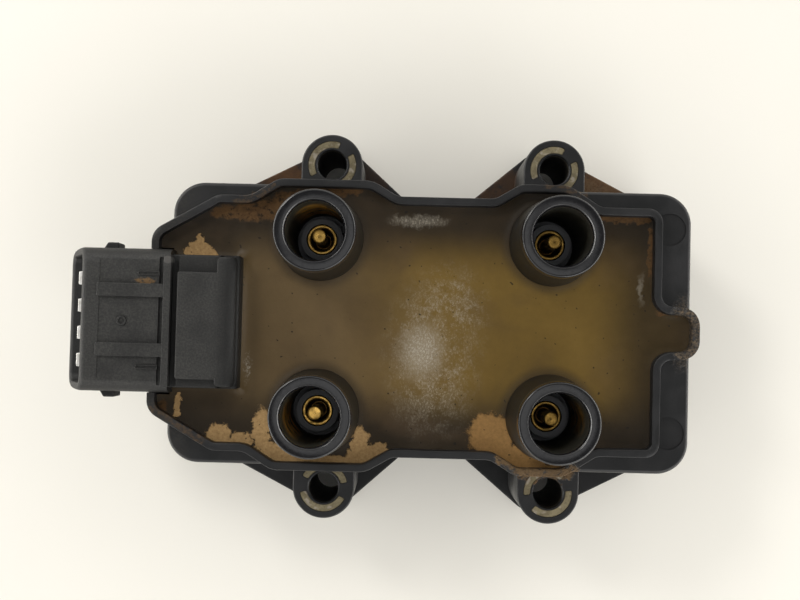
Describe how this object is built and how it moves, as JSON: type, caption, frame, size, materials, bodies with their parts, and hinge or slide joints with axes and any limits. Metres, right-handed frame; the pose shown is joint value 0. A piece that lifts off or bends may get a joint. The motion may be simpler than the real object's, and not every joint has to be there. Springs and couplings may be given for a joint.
{
  "type": "ignition coil",
  "caption": "Flat potted ignition coil pack: high-tension towers on a filled cup, a side blade connector and bolted lugs at the base.",
  "frame": {"origin": "centre of the four bolt holes, on the mounting plane under the case", "axes": "+X from the connector towards the spout end, +Z out of the mounting plane towards the tower mouths, +Y by the right-hand rule"},
  "size_m": [0.1172, 0.0746, 0.0464],
  "materials": {
    "case": "fine-grained black glass-filled polyamide",
    "tower": "smooth black moulded polyester",
    "connector": "dusty black glass-filled polyamide",
    "potting": "semi-gloss brown epoxy",
    "bobbin": "natural moulded plastic",
    "shim": "insulating sheet",
    "brass": "turned brass",
    "tin": "tin-plated brass",
    "zinc": "yellow-passivated steel",
    "lamination": "stacked electrical steel sheet",
    "copper": null
  },
  "bodies": {
    "root": {"housing": "case", "potting": "potting", "connector_body": "connector", "mount_sleeve_nw": "zinc", "mount_sleeve_ne": "zinc", "mount_sleeve_sw": "zinc", "mount_sleeve_se": "zinc", "ht_tower_1": "tower", "ht_tower_2": "tower", "ht_tower_3": "tower", "ht_tower_4": "tower", "ht_socket_1": "brass", "ht_socket_2": "brass", "ht_socket_3": "brass", "ht_socket_4": "brass", "ht_pin_1": "brass", "ht_pin_2": "brass", "ht_pin_3": "brass", "ht_pin_4": "brass", "ht_strap_1": "copper", "ht_strap_2": "copper", "ht_strap_3": "copper", "ht_strap_4": "copper", "connector_blade_1": "tin", "connector_blade_2": "tin", "connector_blade_3": "tin", "connector_blade_4": "tin", "primary_lead_1": "copper", "primary_lead_2": "copper", "primary_lead_3": "copper", "primary_lead_4": "copper", "core_e_left": "lamination", "core_i_left": "lamination", "gap_shim_left": "shim", "primary_bobbin_left": "bobbin", "primary_winding_left": "copper", "secondary_bobbin_left": "bobbin", "secondary_winding_left": "copper", "core_e_right": "lamination", "core_i_right": "lamination", "gap_shim_right": "shim", "primary_bobbin_right": "bobbin", "primary_winding_right": "copper", "secondary_bobbin_right": "bobbin", "secondary_winding_right": "copper"}
  },
  "joints": []
}
